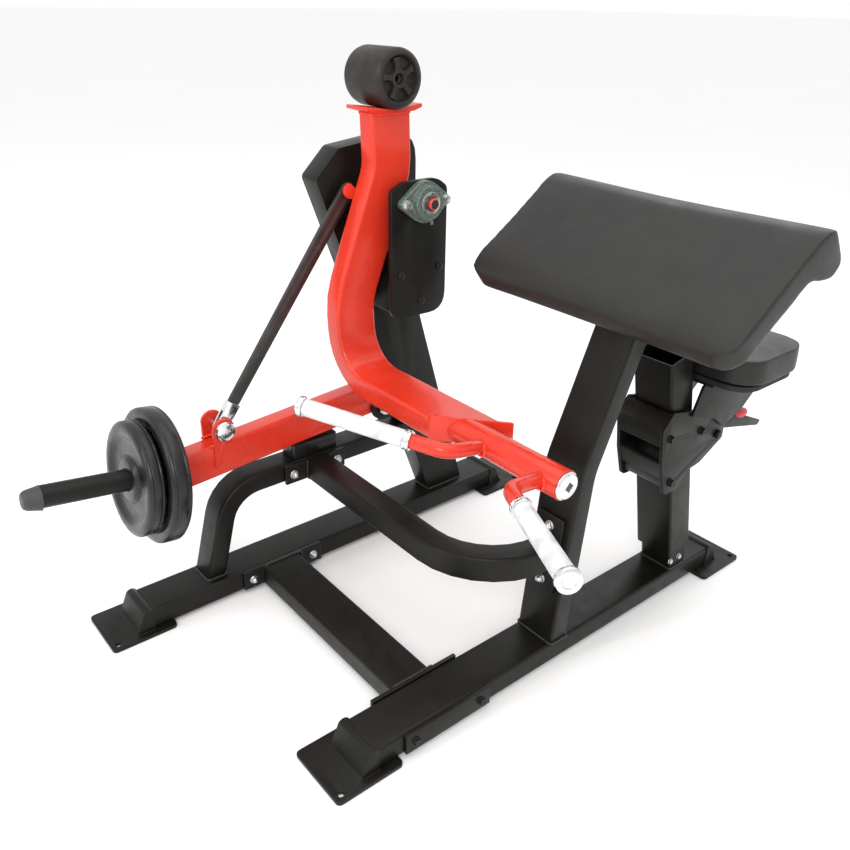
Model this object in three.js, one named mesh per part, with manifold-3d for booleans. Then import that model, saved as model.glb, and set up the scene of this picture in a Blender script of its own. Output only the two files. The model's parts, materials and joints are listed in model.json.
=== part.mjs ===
// Plate-loaded arm curl machine: a seated preacher curl with a swinging arm, a link and a weight lever.
// Millimetres, +Z up. The user sits at +Y facing -Y. X = 0 is the middle of the user's side of the frame.
import * as THREE from "three";
import { mergeVertices } from "three/addons/utils/BufferGeometryUtils.js";
import Module from "manifold-3d";

const wasm = await Module();
wasm.setup();

// ---------- driving dimensions ----------
const GAP = 0.3; // between pieces that touch
const WALL = 3; // tube wall
const TUBE_CORNER = 7; // outside corner radius of the rectangular tubes

const BASE = { width: 100, height: 50, foot: 8 }; // base beams lie on their foot plates
const BASE_TOP = BASE.foot + BASE.height;
const USER_BEAM = { x: 0, front: 104, rear: 1136 };
const WEIGHT_BEAM = { x: -633, front: -62, rear: 972 };
const CROSS_BEAM_Y = 263;

const RAIL = { x: -640, width: 70, depth: 46, foot: 108, top: 271 };
const UPPER_TUBE = { size: 58, y: 396, z: 267, bend: 172 };

// The pillar's front edge leans forward as it rises.
const PILLAR = { near: -610, far: -668, frontFoot: 762, frontSlope: -0.3696 };
const CHEEK = { near: -480, far: -492 };
const SHAFT = { y: 620, z: 903, radius: 15, clearance: 22 }; // clearance: the holes it passes through

const ARM = { x: -543, width: 50, depth: 100, handleY: 474, handleZ: 522, square: -75 };
const CROSS_TUBE_RADIUS = 30;
const GRIP_STUB = { radius: 15, lead: 72, bend: 46 }; // the bar off the cross tube, and its bend
const GRIP_CORE = 11; // radius of the bar inside the sleeve
const GRIP_COLLAR = 15; // the collar's length
const GRIP_DISC = 14; // the end disc's length
const GRIP = { rootX: 76, innerX: 146, innerY: 331, innerZ: 547, tipX: 358, tipY: 214, tipZ: 576 };
const COUNTERWEIGHT = { radius: 59, length: 122, shift: -6, y: 568 };

const LEVER = {
  x: -639, width: 50, height: 80, pivotY: 604, pivotZ: 367, droop: 0.0733, centre: 25, end: -545,
};
const LEVER_PIN = 10; // radius of the lever's pivot pin
const LEVER_END_PLATE = 6;
const LINK = { topX: -581, topY: 494, topZ: 924, bottomX: -628, bottomY: 165, bottomZ: 433 };
const HORN = { radius: 24, length: 283, plug: 36, rise: 0.21, height: 29 };
const LARGE_PLATE = { radius: 150, bore: 25.5, thickness: 46 };
const SMALL_PLATE = { radius: 127, bore: 25.5, thickness: 39 };

const POST = { width: 100, depth: 50, footY: 587, bendY: 626, bendZ: 455, topY: 786, topZ: 834 };
const PAD = { length: 640, depth: 318, thickness: 55, y: 722, z: 885, tilt: THREE.MathUtils.degToRad(35) };

const SEAT_POST = { width: 100, depth: 76, footY: 1020, lean: 0.222, low: 112, high: 640 };
const CARRIAGE = { inside: 54, thickness: 8 };
const SEAT = { width: 350, depth: 236, rear: 1186, top: 648, low: 573 };

// ---------- materials ----------
function paint(color, roughness, metalness) {
  return new THREE.MeshStandardMaterial({ color, roughness, metalness });
}

const BLACK_STEEL = paint(0x2a2a28, 0.45, 0.3);
const RED_STEEL = paint(0xe8301c, 0.3, 0.2);
const CHROME = paint(0xd8dade, 0.15, 1);
const ZINC = paint(0xb9bcbc, 0.35, 0.9);
const DARK_STEEL = paint(0x4a4a48, 0.45, 0.7);
const CAST_IRON = paint(0x4f6257, 0.55, 0.6);
const RUBBER = paint(0x1c1b1a, 0.7, 0);
const VINYL = paint(0x2b2a2a, 0.4, 0);
const GRIP_SLEEVE = paint(0xf1f3f4, 0.25, 0);
const RED_PLASTIC = paint(0xc8283a, 0.4, 0);
const GREY_PLASTIC = paint(0x5d5f5c, 0.5, 0);
const BOARD = paint(0x3a3733, 0.8, 0);

// ---------- solids ----------
function solidOf(geometry) {
  const bare = geometry.clone();
  bare.deleteAttribute("normal");
  bare.deleteAttribute("uv");
  const merged = mergeVertices(bare, 1e-3);
  const vertProperties = new Float32Array(merged.attributes.position.array);
  const triVerts = new Uint32Array(merged.index.array);
  return new wasm.Manifold(new wasm.Mesh({ numProp: 3, vertProperties, triVerts }));
}

function geometryOf(solid) {
  const mesh = solid.getMesh();
  const geometry = new THREE.BufferGeometry();
  geometry.setAttribute("position", new THREE.BufferAttribute(mesh.vertProperties, 3));
  geometry.setIndex(new THREE.BufferAttribute(mesh.triVerts, 1));
  return geometry;
}

function join(first, ...others) {
  return geometryOf(others.reduce((solid, other) => solid.add(solidOf(other)), solidOf(first)));
}

function cut(first, ...tools) {
  return geometryOf(tools.reduce((solid, tool) => solid.subtract(solidOf(tool)), solidOf(first)));
}

function shared(first, second) {
  return geometryOf(solidOf(first).intersect(solidOf(second)));
}

// ---------- outlines and sections ----------
function roundedRect(width, height, radius) {
  const x = width / 2;
  const y = height / 2;
  const shape = new THREE.Shape();
  shape.absarc(x - radius, y - radius, radius, 0, Math.PI / 2);
  shape.absarc(radius - x, y - radius, radius, Math.PI / 2, Math.PI);
  shape.absarc(radius - x, radius - y, radius, Math.PI, 1.5 * Math.PI);
  shape.absarc(x - radius, radius - y, radius, 1.5 * Math.PI, 2 * Math.PI);
  shape.closePath();
  return shape;
}

function hollowRect(width, height) {
  const shape = roundedRect(width, height, TUBE_CORNER);
  shape.holes.push(roundedRect(width - 2 * WALL, height - 2 * WALL, TUBE_CORNER - WALL));
  return shape;
}

function disc(radius, bore = 0) {
  const shape = new THREE.Shape().absarc(0, 0, radius, 0, 2 * Math.PI);
  if (bore) shape.holes.push(new THREE.Path().absarc(0, 0, bore, 0, 2 * Math.PI));
  return shape;
}

// A closed outline with a corner radius at each [u, v, radius] point.
function rounded(corners) {
  const shape = new THREE.Shape();
  corners.forEach(([u, v, radius], i) => {
    const here = new THREE.Vector2(u, v);
    const [pu, pv] = corners[(i + corners.length - 1) % corners.length];
    const [nu, nv] = corners[(i + 1) % corners.length];
    const back = new THREE.Vector2(pu, pv).sub(here).normalize();
    const ahead = new THREE.Vector2(nu, nv).sub(here).normalize();
    const reach = radius / Math.tan(back.angleTo(ahead) / 2);
    const start = here.clone().addScaledVector(back, reach);
    const end = here.clone().addScaledVector(ahead, reach);
    if (i) shape.lineTo(start.x, start.y);
    else shape.moveTo(start.x, start.y);
    if (radius) shape.quadraticCurveTo(u, v, end.x, end.y);
  });
  shape.closePath();
  return shape;
}

const UPRIGHT = new THREE.Matrix4().makeBasis(
  new THREE.Vector3(0, 1, 0), new THREE.Vector3(0, 0, 1), new THREE.Vector3(1, 0, 0));
const AXIAL = new THREE.Matrix4().makeRotationZ(-Math.PI / 2);

// A plate whose outline is drawn in Y and Z, from x = low to x = high.
function sidePlate(shape, low, high, curveSegments = 5) {
  const options = { depth: high - low, bevelEnabled: false, curveSegments };
  return new THREE.ExtrudeGeometry(shape, options).applyMatrix4(UPRIGHT).translate(low, 0, 0);
}

// A plate whose outline is drawn in X and Y, from z = low to z = high.
function flatPlate(shape, low, high, curveSegments = 4) {
  const options = { depth: high - low, bevelEnabled: false, curveSegments };
  return new THREE.ExtrudeGeometry(shape, options).translate(0, 0, low);
}

function box(x0, x1, y0, y1, z0, z1) {
  const block = new THREE.BoxGeometry(x1 - x0, y1 - y0, z1 - z0);
  return block.translate((x0 + x1) / 2, (y0 + y1) / 2, (z0 + z1) / 2);
}

// A round piece on an axis along X through (y, z).
function roundX(radius, low, high, y, z, segments = 20, bore = 0) {
  if (bore) return sidePlate(disc(radius, bore), low, high, segments).translate(0, y, z);
  const bar = new THREE.CylinderGeometry(radius, radius, high - low, segments);
  return bar.applyMatrix4(AXIAL).translate((low + high) / 2, y, z);
}

// A turned piece: [distance along the axis, radius] pairs, revolved about X.
function turned(profile, segments = 24) {
  const points = profile.map(([along, radius]) => new THREE.Vector2(radius, along));
  return new THREE.LatheGeometry(points, segments).applyMatrix4(AXIAL);
}

// The route of a bent tube: straight runs joined by arcs, with one fixed section frame carried along it.
class BentRoute extends THREE.Curve {
  constructor(corners, side, arcStep = Math.PI / 14) {
    super();
    this.points = [];
    this.tangents = [];
    corners.forEach((corner, i) => this.addCorner(corners, corner, i, arcStep));
    const first = this.tangents[0];
    this.normals = [side.clone().addScaledVector(first, -first.dot(side)).normalize()];
    this.tangents.slice(1).forEach((tangent, i) => {
      const turn = new THREE.Quaternion().setFromUnitVectors(this.tangents[i], tangent);
      this.normals.push(this.normals[i].clone().applyQuaternion(turn));
    });
    this.binormals = this.tangents.map((t, i) => new THREE.Vector3().crossVectors(t, this.normals[i]));
  }

  addCorner(corners, { at, radius }, i, arcStep) {
    const into = i ? at.clone().sub(corners[i - 1].at).normalize() : null;
    const out = i < corners.length - 1 ? corners[i + 1].at.clone().sub(at).normalize() : null;
    if (!into || !out) {
      this.addPoint(at, into ?? out);
      return;
    }
    const angle = into.angleTo(out);
    const start = at.clone().addScaledVector(into, -radius * Math.tan(angle / 2));
    const axis = new THREE.Vector3().crossVectors(into, out).normalize();
    const centre = start.clone().addScaledVector(new THREE.Vector3().crossVectors(axis, into), radius);
    const steps = Math.max(2, Math.ceil(angle / arcStep));
    for (let k = 0; k <= steps; k++) {
      const spoke = start.clone().sub(centre).applyAxisAngle(axis, (angle * k) / steps);
      this.addPoint(spoke.add(centre), into.clone().applyAxisAngle(axis, (angle * k) / steps));
    }
  }

  addPoint(point, tangent) {
    this.points.push(point.clone());
    this.tangents.push(tangent.clone());
  }

  getSpacedPoints() {
    return this.points;
  }

  computeFrenetFrames() {
    return { tangents: this.tangents, normals: this.normals, binormals: this.binormals };
  }
}

const vec = (x, y, z) => new THREE.Vector3(x, y, z);
const corner = (x, y, z, radius = 0) => ({ at: vec(x, y, z), radius });

function bentTube(section, corners, side, curveSegments = 3) {
  const route = new BentRoute(corners, side);
  const options = { steps: route.points.length - 1, extrudePath: route, curveSegments };
  return new THREE.ExtrudeGeometry(section, options);
}

// A round bar from one point to another.
function bar(from, to, radius, segments = 16) {
  const along = to.clone().sub(from);
  const geometry = new THREE.CylinderGeometry(radius, radius, along.length(), segments);
  geometry.applyQuaternion(new THREE.Quaternion().setFromUnitVectors(vec(0, 1, 0), along.normalize()));
  return geometry.translate(...from.clone().add(to).multiplyScalar(0.5).toArray());
}

// ---------- the assembly ----------
const machine = new THREE.Group();

function add(name, geometry, material, parent = machine) {
  const mesh = new THREE.Mesh(geometry, material);
  mesh.name = name;
  parent.add(mesh);
  return mesh;
}

// ---------- base frame ----------
const alongY = (section, from, to) => new THREE.ExtrudeGeometry(section,
  { depth: to - from, bevelEnabled: false, curveSegments: 3 }).rotateX(-Math.PI / 2).translate(0, from, 0);
const alongX = (section, from, to) => new THREE.ExtrudeGeometry(section,
  { depth: to - from, bevelEnabled: false, curveSegments: 3 }).rotateY(Math.PI / 2).translate(from, 0, 0);

const CAP_REACH = 50; // the sloped end cap, from its toe to the tube
const PLATE_REACH = 104; // the foot plate, from its outer edge to the tube
const FOOT_PLATE = { length: 150, front: 150, rear: 168, offset: -7, corner: 10, hole: 6.5, inset: 16 };

function endCapOutline(tube, way) {
  const toe = CAP_REACH;
  const low = BASE.foot - 1;
  const points = [[toe, low, 0], [toe, BASE.foot, 0], [toe - 9, BASE.foot + 5, 6], [20, BASE_TOP + 3, 12],
    [8, BASE_TOP + 4, 5], [0, BASE_TOP, 0], [0, low, 0]];
  return rounded(points.map(([out, z, radius]) => [tube + way * (out + GAP), z, radius]));
}

// A foot: the plate on the floor, with the sloped cap that closes the beam's end welded on it.
function foot(name, x, tube, way, width, offset) {
  const half = FOOT_PLATE.length / 2;
  const shape = roundedRect(width, FOOT_PLATE.length, FOOT_PLATE.corner);
  const hole = new THREE.Path();
  hole.absarc(width / 2 - FOOT_PLATE.inset, way * (half - FOOT_PLATE.inset), FOOT_PLATE.hole, 0, 2 * Math.PI);
  shape.holes.push(hole);
  const plate = flatPlate(shape, 0, BASE.foot, 4).translate(x + offset, tube + way * (PLATE_REACH - half), 0);
  const side = BASE.width / 2 + 2;
  add(name, join(plate, sidePlate(endCapOutline(tube, way), x - side, x + side)), BLACK_STEEL);
}

function baseBeam(side, { x, front, rear }) {
  const section = hollowRect(BASE.width, BASE.height);
  const tube = alongY(section, front, rear).translate(x, 0, BASE.foot + BASE.height / 2);
  add(side + "_base_beam", tube, BLACK_STEEL);
  foot(side + "_front_foot", x, front, -1, FOOT_PLATE.front, FOOT_PLATE.offset);
  foot(side + "_rear_foot", x, rear, 1, FOOT_PLATE.rear, 0);
}

baseBeam("user", USER_BEAM);
baseBeam("weight", WEIGHT_BEAM);

// A round hole cutter standing on end, for the drain holes in tubes that are closed at both ends.
const drain = (x, y, low, high) => new THREE.CylinderGeometry(5, 5, high - low, 12)
  .rotateX(Math.PI / 2).translate(x, y, (low + high) / 2);

const FLANGE = 8; // thickness of the bolted flanges
const CROSS_FLANGE = { y0: 162, y1: 378, z0: BASE.foot + 3, z1: BASE_TOP + 2 };

function lowerCrossBeam() {
  const { y0, y1, z0, z1 } = CROSS_FLANGE;
  const left = WEIGHT_BEAM.x + BASE.width / 2 + GAP;
  const right = USER_BEAM.x - BASE.width / 2 - GAP;
  const tube = alongX(hollowRect(BASE.height, BASE.width), left + 1, right - 1);
  tube.translate(0, CROSS_BEAM_Y, BASE.foot + BASE.height / 2);
  const weightFlange = box(left, left + FLANGE, y0, y1, z0, z1);
  const userFlange = box(right - FLANGE, right, y0, y1, z0, z1);
  const hole = drain((left + right) / 2, CROSS_BEAM_Y, BASE.foot - 5, BASE.foot + 12);
  add("lower_cross_beam", cut(join(tube, weightFlange, userFlange), hole), BLACK_STEEL);
  const outer = USER_BEAM.x + BASE.width / 2 + GAP;
  add("user_beam_clamp_plate", box(outer, outer + FLANGE, y0, y1, z0, z1 - 4), BLACK_STEEL);
}

lowerCrossBeam();

// ---------- bearing pillar, rest rail and upper cross tube ----------
const pillarFront = (z) => PILLAR.frontFoot + PILLAR.frontSlope * (z - BASE_TOP);

// Everything behind the pillar's front edge, wider than the rail that ends there.
function behindPillarFront() {
  const [top, back, margin] = [1200, 1300, 90];
  const face = [[pillarFront(0) - GAP, 0], [back, 0], [back, top], [pillarFront(top) - GAP, top]];
  return sidePlate(rounded(face.map(([y, z]) => [y, z, 0])), PILLAR.far - margin, PILLAR.near + margin);
}

const PIVOT_EAR = { radius: 37, thickness: 8, lap: 34 }; // lap: how far the ears reach back over the pillar

// The two round-nosed ears, lapped on the pillar's sides, that hold the weight lever's pivot pin.
function leverPivotEars() {
  const { pivotY: y, pivotZ: z } = LEVER;
  const { radius, thickness, lap } = PIVOT_EAR;
  const back = pillarFront(z) + lap;
  const outline = new THREE.Shape();
  outline.moveTo(back + 12, z - radius);
  outline.lineTo(y, z - radius);
  outline.absarc(y, z, radius, 1.5 * Math.PI, 0.5 * Math.PI, true);
  outline.lineTo(back - 12, z + radius);
  outline.closePath();
  outline.holes.push(new THREE.Path().absarc(y, z, LEVER_PIN + GAP, 0, 2 * Math.PI));
  const near = sidePlate(outline, PILLAR.near - 1, PILLAR.near + thickness, 10);
  return [near, sidePlate(outline, PILLAR.far - thickness, PILLAR.far + 1, 10)];
}

function pillar() {
  const foot = BASE_TOP + GAP;
  const head = [[706, 640, 40], [706, 1032, 60], [494, 1007, 16], [pillarFront(948), 948, 14]];
  const outside = rounded([[pillarFront(foot), foot, 0], [880, foot, 0], ...head]);
  outside.holes.push(new THREE.Path().absarc(SHAFT.y, SHAFT.z, SHAFT.clearance, 0, 2 * Math.PI));
  const inside = rounded([[772, 40, 0], [872, 40, 0], [699, 640, 40], [699, 1023, 54],
    [496, 1000, 12], [pillarFront(945) + 8, 945, 10]]);
  const wall = 4;
  const core = sidePlate(inside, PILLAR.far + wall, PILLAR.near - wall);
  const shell = cut(sidePlate(outside, PILLAR.far, PILLAR.near), core);
  add("bearing_pillar", join(shell, ...leverPivotEars()), BLACK_STEEL);
}

function restRail() {
  const bendY = RAIL.foot + 0.27 * (RAIL.top - BASE_TOP);
  const route = [corner(RAIL.x, RAIL.foot - 8, BASE_TOP - 30), corner(RAIL.x, bendY, RAIL.top, 95),
    corner(RAIL.x, 720, RAIL.top)];
  const tube = bentTube(hollowRect(RAIL.width, RAIL.depth), route, vec(1, 0, 0));
  const floor = box(RAIL.x - 60, RAIL.x + 60, 0, 300, 0, BASE_TOP + GAP);
  add("lever_rest_rail", cut(tube, floor, behindPillarFront()), BLACK_STEEL);
  const top = RAIL.top + RAIL.depth / 2 + GAP;
  const bumper = flatPlate(roundedRect(56, 128, 8), top, top + 38).translate(RAIL.x, 401, 0);
  add("lever_rest_bumper", bumper, RUBBER);
}

const POST_LEAN = Math.atan2(POST.bendY - POST.footY, POST.bendZ - BASE_TOP);
const postFront = (z) => POST.footY + (z - BASE_TOP) * Math.tan(POST_LEAN)
  - POST.depth / 2 / Math.cos(POST_LEAN);

function upperCrossTube() {
  const { size, y, z, bend } = UPPER_TUBE;
  const start = RAIL.x + RAIL.width / 2 + GAP;
  const end = postFront(z) - FLANGE + 3;
  const route = [corner(start + 1, y, z), corner(USER_BEAM.x, y, z, bend), corner(USER_BEAM.x, end, z)];
  const tube = bentTube(hollowRect(size, size), route, vec(0, 0, 1));
  const railFlange = box(start, start + FLANGE, y - 90, y + 78, z - 23, z + 25);
  const postFlange = box(-34, 34, -FLANGE - GAP, -GAP, -88, 88);
  postFlange.rotateX(-POST_LEAN).translate(0, postFront(z), z);
  const hole = drain(USER_BEAM.x - 300, y, z - size / 2 - 5, z - size / 2 + 12);
  add("upper_cross_tube", cut(join(tube, railFlange, postFlange), hole), BLACK_STEEL);
}

pillar();
restRail();
upperCrossTube();

// ---------- near cheek plate and the two flange bearings ----------
function cheek() {
  const outline = rounded([[538, 646, 26], [538, 932, 12], [572, 948, 40], [662, 948, 50], [692, 928, 20],
    [692, 642, 46]]);
  outline.holes.push(new THREE.Path().absarc(SHAFT.y, SHAFT.z, SHAFT.clearance, 0, 2 * Math.PI));
  add("bearing_cheek_plate", sidePlate(outline, CHEEK.far, CHEEK.near), BLACK_STEEL);
  const block = rounded([[552, 652, 6], [680, 652, 20], [684, 768, 6], [612, 768, 6]]);
  add("cheek_spacer_block", sidePlate(block, PILLAR.near + GAP, CHEEK.far - GAP, 3), BLACK_STEEL);
}

const BEARING = { bolts: 106, flange: 15, boss: 31, insert: 26 };

// A two-bolt flange bearing on the shaft, its back at x = face and its nose pointing along way.
function flangeBearing(place, face, way) {
  const span = (a, b) => [face + way * a, face + way * b].sort((p, q) => p - q);
  const flange = rounded([[-74, 0, 14], [0, -56, 48], [74, 0, 14], [0, 56, 48]]);
  flange.holes.push(new THREE.Path().absarc(0, 0, BEARING.insert, 0, 2 * Math.PI));
  for (const side of [-1, 1]) {
    flange.holes.push(new THREE.Path().absarc((side * BEARING.bolts) / 2, 0, 6.5, 0, 2 * Math.PI));
  }
  const plate = sidePlate(flange, ...span(GAP, BEARING.flange), 10).translate(0, SHAFT.y, SHAFT.z);
  const boss = roundX(36, ...span(BEARING.flange - 3, BEARING.boss), SHAFT.y, SHAFT.z, 12, BEARING.insert);
  const nippleX = face + (way * (BEARING.flange + BEARING.boss)) / 2;
  const nippleRoot = vec(nippleX, SHAFT.y + 8, SHAFT.z - 34);
  const nipple = bar(nippleRoot, nippleRoot.clone().add(vec(0, 2, -14)), 3.5, 8);
  add(place + "_bearing_housing", join(plate, boss, nipple), CAST_IRON);
  if (place === "far") return;
  for (const [end, side] of [["front", -1], ["rear", 1]]) {
    const y = SHAFT.y + (side * BEARING.bolts) / 2;
    const shank = roundX(6, ...span(1, BEARING.flange + 6), y, SHAFT.z, 8);
    const washer = roundX(11, ...span(BEARING.flange + GAP, BEARING.flange + 2.5), y, SHAFT.z, 16);
    const head = roundX(10, ...span(BEARING.flange + 2.4, BEARING.flange + 10), y, SHAFT.z, 6);
    add(place + "_bearing_bolt_" + end, join(shank, washer, head), ZINC);
  }
}

cheek();
flangeBearing("near", CHEEK.near, 1);
flangeBearing("far", PILLAR.far, -1);

function leverPivotPin() {
  const outer = (PILLAR.near - PILLAR.far) / 2 + PIVOT_EAR.thickness;
  const pin = turned([[-outer - 9, 0], [-outer - 9, 17], [-outer - GAP, 17], [-outer - GAP, LEVER_PIN],
    [outer + GAP, LEVER_PIN], [outer + GAP, 20], [outer + 7, 19], [outer + 11, 12], [outer + 12, 0]], 18);
  add("lever_pivot_pin", pin.translate(LEVER.x, LEVER.pivotY, LEVER.pivotZ), CHROME);
}

leverPivotPin();

// ---------- pad post, arm pad and its mounting ----------
function padPost() {
  const { footY, bendY, bendZ, topY, topZ } = POST;
  const route = [corner(0, footY - 4, BASE_TOP - 40), corner(0, bendY, bendZ, 140),
    corner(0, topY + 14, topZ + 30)];
  const tube = bentTube(hollowRect(POST.width, POST.depth), route, vec(1, 0, 0));
  const floor = box(-80, 80, 450, 800, 0, BASE_TOP + GAP);
  const roof = box(-80, 80, -200, 200, 0, 120).rotateX(PAD.tilt).translate(0, topY, topZ);
  const mount = box(-110, 110, -88, 24, -1, 8).rotateX(PAD.tilt).translate(0, topY, topZ);
  add("pad_post", join(cut(tube, floor, roof), mount), BLACK_STEEL);
}

// The arm pad lies on its board, in a frame whose origin is the top face's middle.
// The frame's +Y climbs the slope.
function armPad() {
  const frame = new THREE.Group();
  frame.position.set(0, PAD.y, PAD.z);
  frame.rotation.x = PAD.tilt;
  machine.add(frame);
  const half = PAD.depth / 2;
  const drop = PAD.thickness;
  const roll = 104; // how far the elbow roll reaches below the top face
  const rear = half + 18; // the roll bulges behind the slab
  const rollFront = half - 90;
  const section = rounded([[-half, -drop, 14], [rollFront, -drop, 30], [half - 38, -roll, 24],
    [rear - 2, -roll, 32], [rear, -10, 40], [half - 30, 0, 60], [-half + 4, 0, 16]]);
  const slab = sidePlate(section, -PAD.length / 2, PAD.length / 2, 4);
  const end = PAD.length / 2;
  const plan = rounded([[-end, -half, 62], [end, -half, 62], [end, rear + 1, 26], [-end, rear + 1, 26]]);
  add("arm_pad", shared(slab, flatPlate(plan, -roll - 10, 10, 6)), VINYL, frame);
  const board = new THREE.BoxGeometry(PAD.length - 90, 184, 14).translate(0, -40, -drop - GAP - 7);
  add("arm_pad_board", board, BOARD, frame);
}

padPost();
armPad();

// ---------- seat post and seat carriage ----------
const SEAT_LEAN = Math.atan(SEAT_POST.lean);
const seatPostY = (z) => SEAT_POST.footY - SEAT_POST.lean * (z - BASE_TOP);
const seatPostFace = SEAT_POST.depth / 2 / Math.cos(SEAT_LEAN);

function seatPost() {
  const floor = box(-80, 80, 900, 1150, 0, BASE_TOP + GAP);
  const alongPost = (rise) => rise / Math.cos(SEAT_LEAN);
  const socketTube = new THREE.ExtrudeGeometry(hollowRect(86, 62),
    { depth: alongPost(190), bevelEnabled: false, curveSegments: 3 });
  socketTube.rotateX(SEAT_LEAN).translate(0, seatPostY(BASE_TOP - 30), BASE_TOP - 30);
  add("seat_post_socket", cut(socketTube, floor), BLACK_STEEL);
  const post = new THREE.ExtrudeGeometry(hollowRect(SEAT_POST.width, SEAT_POST.depth),
    { depth: alongPost(SEAT_POST.high - SEAT_POST.low), bevelEnabled: false, curveSegments: 3 });
  post.rotateX(SEAT_LEAN).translate(0, seatPostY(SEAT_POST.low), SEAT_POST.low);
  add("seat_post", post, BLACK_STEEL);
}

const ROLLER = { radius: 17, bore: 6.3 };
// The release lever's pivot, its stud's radius and the x of its two faces.
const RELEASE = { y: 1056, z: 418, stud: 5, low: 43, high: 49 };
const ROLLERS = [
  ["upper_front", 462, -1],
  ["lower_front", 345, -1],
  ["rear", 446, 1],
];

function seatCarriage() {
  const side = rounded([[872, 524, 5], [1040, 486, 14], [1080, 432, 8], [1080, 402, 8], [1003, 362, 8],
    [958, 356, 10], [926, 318, 16], [880, 320, 16], [856, 400, 6], [842, 490, 5]]);
  const rollers = ROLLERS.map(([place, z, way]) => {
    const y = seatPostY(z) + way * (seatPostFace + ROLLER.radius / Math.cos(SEAT_LEAN) + GAP);
    return { place, y, z };
  });
  const holes = [...rollers, RELEASE];
  for (const { y, z } of holes) side.holes.push(new THREE.Path().absarc(y, z, ROLLER.bore, 0, 2 * Math.PI));
  const { inside, thickness } = CARRIAGE;
  const near = sidePlate(side, inside, inside + thickness, 4);
  const far = sidePlate(side, -inside - thickness, -inside, 4);
  const upper = rounded([[845, 450, 0], [851, 450, 0], [851, 484, 0], [876, 514, 0], [876, 520, 0],
    [868, 520, 0], [845, 492, 0]]);
  const lower = rounded([[858, 402, 3], [866, 408, 2], [877, 364, 0], [871, 362, 0]]);
  const crossPieces = [upper, lower].map((outline) => sidePlate(outline, -inside - 1, inside + 1, 3));
  add("seat_carriage", join(near, far, ...crossPieces), BLACK_STEEL);
  for (const { place, y, z } of rollers) {
    const roller = roundX(ROLLER.radius, -inside + 2, inside - 2, y, z, 6, ROLLER.bore);
    add("guide_roller_" + place, roller, GREY_PLASTIC);
  }
}

function seat() {
  const outer = CARRIAGE.inside + CARRIAGE.thickness + GAP;
  const plateLow = SEAT.low - 7;
  const gusset = rounded([[930, 500, 8], [1020, 470, 8], [1062, 438, 8], [1128, 462, 20], [1170, 496, 12],
    [1174, plateLow, 4], [958, plateLow, 4]]);
  const near = sidePlate(gusset, outer, outer + 7, 3);
  const far = sidePlate(gusset, -outer - 7, -outer, 3);
  const front = SEAT.rear - SEAT.depth;
  const plate = box(-outer - 24, outer + 24, front + 12, SEAT.rear - 14, plateLow, SEAT.low);
  add("seat_support_bracket", join(near, far, plate), BLACK_STEEL);
  const middle = (front + SEAT.rear) / 2;
  const low = SEAT.low + GAP;
  const board = flatPlate(roundedRect(SEAT.width - 30, SEAT.depth - 20, 56), low, low + 12, 5);
  add("seat_board", board.translate(0, middle, 0), BOARD);
  const pad = flatPlate(roundedRect(SEAT.width, SEAT.depth, 66), low + 12 + GAP, SEAT.top, 6);
  add("seat_pad", pad.translate(0, middle, 0), VINYL);
}

// The release lever lies between the carriage plates and turns on a stud through the near one.
function seatRelease() {
  const { inside, thickness } = CARRIAGE;
  const { low, high } = RELEASE;
  const outline = rounded([[1040, 406, 8], [1064, 402, 8], [1100, 414, 12], [1258, 373, 5], [1268, 384, 4],
    [1186, 421, 20], [1110, 440, 14], [1062, 434, 12], [1042, 430, 10]]);
  const outer = inside + thickness + 1;
  const stud = turned([[low + 1, 0], [low + 1, RELEASE.stud], [outer, RELEASE.stud], [outer, 10],
    [outer + 5, 10], [outer + 7, 8], [outer + 7, 0]], 16).translate(0, RELEASE.y, RELEASE.z);
  add("seat_release_lever", join(sidePlate(outline, low, high, 4), stud), BLACK_STEEL);
  const shell = new THREE.SphereGeometry(1, 16, 10).scale(10, 27, 13).rotateX(-0.2);
  shell.translate((low + high) / 2, 1172, 431);
  const slot = sidePlate(outline, low - GAP, high + GAP, 4);
  add("seat_release_grip", cut(shell, slot), RED_PLASTIC);
}

seatPost();
seatCarriage();
seat();
seatRelease();

// ---------- swinging arm ----------
const ARM_TOP = 1082;
const SLEEVE_RADIUS = 28;

// Seen from above, the arm's rectangular tube ends on a slant.
// A plate closes it, and the round tube is welded to that plate.
const SLANT = { front: 418, rear: 530, run: 130 };
const slantX = (y) => ARM.square - (SLANT.run * (SLANT.rear - y)) / (SLANT.rear - SLANT.front);

// Everything on one side of the slant: the side that way points to, in X.
function beyondSlant(shift, way) {
  const far = way * 400;
  const { front, rear } = SLANT;
  const line = [[slantX(rear) + shift, rear, 0], [slantX(front) + shift, front, 0],
    [far, front, 0], [far, rear, 0]];
  return flatPlate(rounded(line), ARM.handleZ - 90, ARM.handleZ + 90);
}

function slantPlate() {
  const { handleZ: z, width } = ARM;
  const [front, rear, thickness] = [422, 531, 7];
  const plan = [[slantX(front), front, 0], [slantX(rear), rear, 0], [slantX(rear) - thickness, rear, 0],
    [slantX(front) - thickness, front, 0]];
  return flatPlate(rounded(plan), z - width / 2, z + width / 2 + 5);
}

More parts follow.
